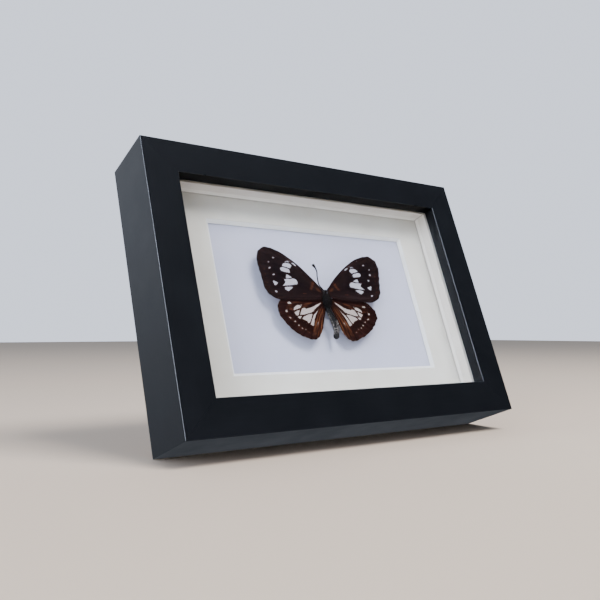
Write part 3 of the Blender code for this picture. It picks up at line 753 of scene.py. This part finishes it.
def setWing(kind, side, sheet, depth, material):
    # bends one copy of the sheet, raises its veins and sets it at this side's spread
    mesh = sheet.copy()
    veinAt, rimAt = (mesh.verts.layers.float[name] for name in ("vein", "margin"))
    turn = 1 if side == "right" else -1
    spread = wingSpread[(kind, side)]
    for vert in mesh.verts:
        out, up = vert.co.x, vert.co.z
        if (kind, side) == ("hind", "right"):
            out, up = outgrown(out, up, vert[rimAt])
        ridge = wingForm["ridge"] * math.exp(-(vert[veinAt] / wingForm["ridgeWidth"]) ** 2)
        sag = wingForm["sag"] * min(vert[veinAt] / wingForm["sagWidth"], 1.0)
        pitch = wingForm["wavePitch"]
        wave = wingForm["wave"] * noise.noise(Vector((out * pitch * turn, up * pitch, depth)))
        bow = wingForm["bow"] * (out - wingForm["bowFrom"]) ** 2
        across = (spread["long"] * out + spread["lean"] * up + spread["fan"][0] * out * up
                  + spread["shift"][0])
        height = (spread["broad"] * up - spread["droop"] * out + spread["fan"][1] * out * up
                  + spread["shift"][1])
        vert.co = (insect["across"] + turn * across, depth - ridge + sag + wave + bow, insect["up"] + height)
    if turn < 0:
        bmesh.ops.reverse_faces(mesh, faces=mesh.faces)
    mesh.normal_update()
    if sum(side.normal.y * side.calc_area() for side in mesh.faces) > 0:
        bmesh.ops.reverse_faces(mesh, faces=mesh.faces)
    wing = addPiece(f"{kind}wing_sheet_{side}", mesh, [material],
                    [f"{kind}wing_{side}"])
    skin = wing.modifiers.new("membrane", "SOLIDIFY")
    skin.thickness = wingForm["thick"] * mm
    skin.offset = -1.0


# Wing scales: powdery overlapping scales on a membrane, so matt; the pale bands have ragged borders
# a few scales wide, and dark veins cross them
def wingScales(name, look):
    material, tree, position = newMaterial(name, IOR=1.5, Roughness=0.7, Specular_IOR_Level=0.02)
    reads = {key: addNode(tree, "ShaderNodeAttribute", {"attribute_name": key}).outputs["Fac"]
             for key in readings}
    rays = addMap(tree, "rays")
    combed = addStretch(tree, rays, (38.0, 160.0, 1.0))
    comb = addNoise(tree, combed, 1.0, detail=4.0, roughness=0.65, unit=1.0)
    ragged = addNoise(tree, position, 0.55, detail=3.0, roughness=0.7)
    scales = addCells(tree, position, 0.14)
    # dark ground, browner towards the outer margin
    outer = addRange(tree, reads["margin"], (0.3, 7.0), (1.0, 0.0))
    strands = addRange(tree, comb, look["comb"])
    ground = addMix(tree, addMath(tree, "MULTIPLY", outer, strands), look["dark"], look["brown"])
    # rust, broken into streaks that run out from the root
    broad = addStretch(tree, rays, (15.0, 55.0, 1.0))
    streaks = addNoise(tree, broad, 1.0, detail=3.0, roughness=0.55, unit=1.0)
    streaked = addRange(tree, streaks, (0.44, 0.62), (1.0 - look["streak"], 1.0), smooth=True)
    rustAt = addMath(tree, "ADD", reads["rust"], addMath(tree, "MULTIPLY_ADD", comb, 2.4, -1.2))
    rustShare = addRange(tree, rustAt, (-0.35, 0.7), (0.0, look["rustShare"]), smooth=True)
    rusted = addMix(tree, addMath(tree, "MULTIPLY", rustShare, streaked), ground, look["rust"])
    # veins stay dark
    veinShare = addRange(tree, reads["vein"], look["vein"], (look["veinShare"], 0.0), smooth=True)
    veined = addMix(tree, veinShare, rusted, look["dark"])
    # pale bands, each in a thin rust halo
    paleVeined = addMix(tree, veinShare, addMix(tree, comb, look["paleDeep"], look["pale"]), look["paleVein"])
    paleAt = addMath(tree, "ADD", reads["patch"], addMath(tree, "MULTIPLY_ADD", ragged, 0.6, -0.3))
    paleShare = addRange(tree, paleAt, (0.02, 0.15), smooth=True)
    halo = addRange(tree, paleAt, (-0.7, 0.0), (0.0, look["halo"]), smooth=True)
    marked = addMix(tree, paleShare, addMix(tree, halo, veined, look["rust"]), paleVeined)
    speckle = addRange(tree, scales, (0.0, 0.9), (1.12, 0.8))
    powdered = addMix(tree, 1.0, marked, speckle, "MULTIPLY")
    # pale fringe hairs between the vein ends
    atRim = addRange(tree, reads["margin"], (0.1, 0.34), (look["fringe"], 0.0), smooth=True)
    between = addRange(tree, reads["fringe"], (0.35, 0.75), smooth=True)
    nearEnd = addRange(tree, reads["fringe"], (1.4, 2.2), (1.0, 0.0), smooth=True)
    fringeShare = addMath(tree, "MULTIPLY", atRim, addMath(tree, "MULTIPLY", between, nearEnd))
    fringed = addMix(tree, fringeShare, powdered, look["paleDeep"])
    pleat = addBump(tree, comb, 0.3, 0.06, addBump(tree, scales, 0.45, 0.03))
    return setShader(material, Base_Color=fringed, Normal=pleat)


foreScales = wingScales("forewing scales", {
    "dark": "#140c0e", "brown": "#2b1c19", "rust": "#5a321e", "rustShare": 0.75, "halo": 0.1,
    "pale": "#c4c4ce", "paleDeep": "#a8a5af", "paleVein": "#4a4348", "vein": (0.07, 0.19), "veinShare": 0.75,
    "comb": (0.36, 0.66), "streak": 0.5, "fringe": 0.45,
})
hindScales = wingScales("hindwing scales", {
    "dark": "#1a0b09", "brown": "#341b17", "rust": "#6a3d25", "rustShare": 0.85, "halo": 0.15,
    "pale": "#c3b8b4", "paleDeep": "#a3958f", "paleVein": "#1a0f0c", "vein": (0.15, 0.31), "veinShare": 0.95,
    "comb": (0.42, 0.7), "streak": 0.92, "fringe": 0.6,
})
foreSheet = wingSheet(foreShape)
hindSheet = wingSheet(hindShape)
for side in ("left", "right"):
    setWing("fore", side, foreSheet, insect["foreDepth"], foreScales)
    setWing("hind", side, hindSheet, insect["hindDepth"], hindScales)
foreSheet.free()
hindSheet.free()
print("wings set")


def ringTube(mesh, line, segments):
    # bridges rings of the given radius along a centre line of (across, depth, up, radius)
    points = [Vector(item[:3]) for item in line]
    previous = None
    for i, point in enumerate(points):
        ahead = points[min(i + 1, len(points) - 1)] - points[max(i - 1, 0)]
        facing = Vector((0, 0, 1)).rotation_difference(ahead).to_matrix().to_4x4()
        made = bmesh.ops.create_circle(mesh, cap_ends=i in (0, len(points) - 1), segments=segments,
                                       radius=line[i][3], matrix=Matrix.Translation(point) @ facing)["verts"]
        ring = list({edge for vert in made for edge in vert.link_edges})
        if previous:
            bmesh.ops.bridge_loops(mesh, edges=previous + ring)
        previous = ring
    return mesh


# Body cuticle: a black leathery skin under combed hairs, with tufts of paler scales
def bodyScales(name, dark, pale, share):
    material, tree, position = newMaterial(name, IOR=1.5, Roughness=0.72, Specular_IOR_Level=0.1)
    tuft = addNoise(tree, position, 0.7, detail=4.0, roughness=0.7)
    hairs = addNoise(tree, addStretch(tree, position, (1.0, 1.0, 0.25)), 0.1)
    colour = addMix(tree, addRange(tree, tuft, (0.42, 0.66), (0.0, share)), dark, pale)
    return setShader(material, Base_Color=colour, Normal=addBump(tree, hairs, 0.7, 0.06))


thoraxSkin = bodyScales("thorax cuticle", "#0a0707", "#1c1614", 0.6)
abdomenSkin = bodyScales("abdomen scales", "#0a0809", "#2b2725", 0.55)
flankSkin = bodyScales("pale abdomen flank", "#1c1817", "#89827e", 1.0)
hairFinish = bodyScales("body hair", "#0b0808", "#2b2320", 0.8)

# The trunk grew as one: head, thorax and an abdomen that swells and is pinched in at its rings
body = {
    "line": [
        (82.75, 11.5, 62.75, 0.2), (82.75, 11.5, 62.4, 0.85), (82.7, 11.5, 61.8, 1.1),
        (82.7, 11.7, 61.1, 0.95), (82.7, 12.0, 60.1, 1.75), (82.7, 12.0, 58.6, 1.98), (82.7, 12.0, 57.0, 1.8),
        (82.6, 11.9, 55.7, 1.3), (82.65, 11.7, 54.4, 1.05), (83.2, 11.6, 51.7, 1.05), (84.1, 11.5, 48.9, 1.3),
        (84.6, 11.5, 47.2, 1.45), (84.75, 11.5, 45.6, 1.42), (84.75, 11.5, 44.2, 1.3),
        (84.45, 11.5, 42.9, 1.2), (83.9, 11.5, 41.5, 1.25), (83.65, 11.5, 40.5, 1.15),
        (83.4, 11.5, 39.8, 0.5), (83.35, 11.5, 39.5, 0.1),
    ],
    "segments": 40, "rings": 130, "least": 0.08,
    "abdomenFrom": 55.8, "ringPitch": 1.75, "swell": 0.08, "pinch": 0.07, "pinchLong": 0.15,
    "greyBelow": 51.0, "bothBelow": 48.0, "tailBelow": 44.6, "club": 42.0,
}
trunkLine = smoothLoop(body["line"], body["rings"], closed=False)


def bodyMesh():
    shaped = []
    for across, depth, up, radius in trunkLine:
        if up < body["abdomenFrom"]:
            share = ((body["abdomenFrom"] - up) / body["ringPitch"]) % 1.0
            pinched = body["pinch"] * max(0.0, 1 - share / body["pinchLong"])
            radius *= 1.0 + body["swell"] * math.sin(math.pi * share) - pinched
        shaped.append((across, depth, up, max(radius, body["least"])))
    mesh = ringTube(bmesh.new(), shaped, body["segments"])
    bmesh.ops.recalc_face_normals(mesh, faces=mesh.faces)
    for side in mesh.faces:
        up, way = side.calc_center_median().z, side.normal.x
        patchy = noise.noise(side.calc_center_median() * 1.7)
        onLeft = way < -0.82 + 0.3 * patchy
        onRight = way > -0.15 + 0.4 * patchy and up < body["bothBelow"]
        nearTail = up < body["tailBelow"] and patchy > -0.15
        if up > body["abdomenFrom"]:
            side.material_index = 0
        elif (onLeft or onRight or nearTail) and body["club"] < up < body["greyBelow"] + 2 * patchy:
            side.material_index = 2
        else:
            side.material_index = 1
    return mesh


addPiece("butterfly_trunk", bodyMesh(), [thoraxSkin, abdomenSkin, flankSkin],
         ["butterfly_body"])

# Compound eyes: a dark dull bead each side of the head, finely pitted by its facets
eye = {"places": ((82.15, 10.95, 62.0), (83.45, 10.95, 62.0)), "size": 0.6, "shape": (0.85, 0.8, 1.1, 1),
       "facet": 0.09}


def eyeGlaze():
    material, tree, position = newMaterial("eye facets", IOR=1.4, Roughness=0.55)
    facets = addCells(tree, position, eye["facet"])
    colour = addMix(tree, facets, "#1a100d", "#070405")
    return setShader(material, Base_Color=colour, Normal=addBump(tree, facets, 0.4, 0.02))


eyes = bmesh.new()
for place in eye["places"]:
    bead = Matrix.Translation(place) @ Matrix.Diagonal(eye["shape"])
    bmesh.ops.create_icosphere(eyes, subdivisions=4, radius=eye["size"], matrix=bead)
addPiece("compound_eyes", eyes, [eyeGlaze()])

# Feeler: jointed, so every third ring is a waist, with a club at its tip
feeler = {
    "line": [
        (82.2, 10.9, 62.3, 0.2), (81.0, 10.7, 63.4, 0.2), (79.95, 10.7, 65.2, 0.19), (79.9, 10.5, 68.8, 0.19),
        (80.25, 10.4, 71.0, 0.2), (79.8, 10.3, 72.8, 0.27), (79.0, 10.2, 73.95, 0.46),
        (78.6, 10.2, 74.35, 0.36), (78.45, 10.2, 74.5, 0.1),
    ],
    "rings": 110, "segments": 12, "joint": 1.4, "waist": 1.05,
}
feelerLine = []
for i, (across, depth, up, radius) in enumerate(smoothLoop(feeler["line"], feeler["rings"], closed=False)):
    feelerLine.append((across, depth, up, radius * feeler["joint" if i % 3 else "waist"]))
feelerMesh = ringTube(bmesh.new(), feelerLine, feeler["segments"])
addPiece("feeler", feelerMesh, [thoraxSkin], ["antenna"])

hair = {"root": 0.035, "tip": 0.006, "sunk": 0.92, "stray": 0.3, "droop": 0.25}


def hairCoat(name, count, region, length, lie):
    # thin three-sided hairs that stand on the body and lean towards its tail or its head
    mesh = bmesh.new()
    rows = [row for row in trunkLine if region[0] < row[2] < region[1]]
    for i in range(count):
        row = rows[random.randrange(len(rows))]
        turn = random.uniform(-math.pi, math.pi)
        outward = Vector((math.sin(turn), -math.cos(turn), 0))
        root = Vector(row[:3]) + outward * row[3] * hair["sunk"]
        stray = Vector([random.gauss(0, hair["stray"]) for axis in range(3)])
        aim = (outward + Vector((0, 0, lie)) + stray).normalized()
        size = length * random.uniform(0.5, 1.1)
        stand = Vector((0, 0, 1)).rotation_difference(aim).to_matrix().to_4x4()
        middle = Matrix.Translation(root + aim * size / 2)
        base = bmesh.ops.create_cone(mesh, cap_ends=False, segments=3, radius1=hair["root"],
                                     radius2=hair["tip"], depth=size, matrix=middle @ stand)
        for vert in base["verts"]:
            share = (vert.co - root).length / size
            vert.co.z -= hair["droop"] * size * share ** 2
    addPiece(name, mesh, [hairFinish])


hairCoat("thorax_hair", 2800, (54.6, 61.2), 1.6, -0.6)
hairCoat("abdomen_hair", 1700, (40.0, 55.0), 0.5, -1.6)
hairCoat("head_hair", 380, (61.0, 62.6), 0.7, 0.2)
print("body made")

# Plain stage: a pale floor in a pale room that is dim in front, so that the glass stays clear. The
# key lights matt surfaces only, the fill lights both, and the edge light shows only as gloss
stage = {
    "floor": 6.0, "key": 21.5, "fill": 13.0, "edge": 75.0, "ceiling": 0.36, "wall": 1.05, "front": 0.015,
    "backdrop": 1.8, "aim": (0.0, 0.0, 0.06),
}
floorMesh = bmesh.new()
bmesh.ops.create_grid(floorMesh, x_segments=1, y_segments=1, size=stage["floor"] / 2)
floor = newObject("studio_floor", newMesh("studio_floor", floorMesh))
floorPaint = newMaterial("matt studio floor", Roughness=0.8, Base_Color=hexColour("#e4d2bd"))[0]
floor.data.materials.append(floorPaint)
floor.visible_glossy = False

world = bpy.data.worlds.new("pale room")
bpy.context.scene.world = world
world.use_nodes = True
room = world.node_tree
around = addNode(room, "ShaderNodeTexCoord").outputs["Generated"]
facing = addNode(room, "ShaderNodeSeparateXYZ", inputs={0: around}).outputs
overhead = addRange(room, facing["Z"], (0.52, 1.0), (stage["front"], stage["ceiling"]), smooth=True)
behind = addRange(room, facing["Y"], (-0.3, 0.7), (0.0, stage["wall"]), smooth=True)
above = addRange(room, facing["Z"], (-0.2, 0.25), (0.3, 1.0), smooth=True)
strength = addMath(room, "MAXIMUM", overhead, addMath(room, "MULTIPLY", behind, above))
lighting = addNode(room, "ShaderNodeBackground", inputs={"Color": hexColour("#dce5f5"), "Strength": strength})
seen = addNode(room, "ShaderNodeBackground", inputs={
    "Color": hexColour("#d0d7e6"), "Strength": stage["backdrop"]})
mixed = addNode(room, "ShaderNodeMixShader", inputs={
    0: addNode(room, "ShaderNodeLightPath").outputs["Is Camera Ray"],
    1: lighting.outputs[0], 2: seen.outputs[0]})
room.links.new(mixed.outputs[0], room.nodes["World Output"].inputs["Surface"])


def softLight(name, place, size, energy, colour, glossy, matt):
    data = bpy.data.lights.new(name, "AREA")
    data.shape = "RECTANGLE"
    data.size, data.size_y = size
    data.energy = energy
    data.color = hexColour(colour)[:3]
    light = newObject(name, data)
    light.location = place
    light.rotation_euler = (Vector(stage["aim"]) - Vector(place)).to_track_quat("-Z", "Y").to_euler()
    light.visible_glossy = glossy
    light.visible_diffuse = matt
    light.visible_transmission = False


softLight("soft key", (0.3, -0.64, 1.12), (0.55, 0.55), stage["key"], "#fdfbff", glossy=False, matt=True)
softLight("soft fill", (-1.0, -0.75, 0.3), (0.9, 0.9), stage["fill"], "#f2f5ff", glossy=True, matt=True)
softLight("edge light", (-1.15, -0.35, 0.72), (0.5, 0.9), stage["edge"], "#dfeaff", glossy=True, matt=False)

# The camera stands low in front and to the left: its heading is to the right of straight ahead
cameraSet = {"place": (-191.0, -258.0, 46.5), "heading": 35.5, "pitch": 2.6, "lens": 41.9, "sensor": 36.0}
cameraData = bpy.data.cameras.new("camera")
cameraData.lens = cameraSet["lens"]
cameraData.sensor_width = cameraSet["sensor"]
cameraData.clip_start = 0.01
camera = newObject("camera", cameraData)
camera.location = Vector(cameraSet["place"]) * mm
camera.rotation_euler = (math.radians(90 + cameraSet["pitch"]), 0, -math.radians(cameraSet["heading"]))
bpy.context.scene.camera = camera
print("stage set")
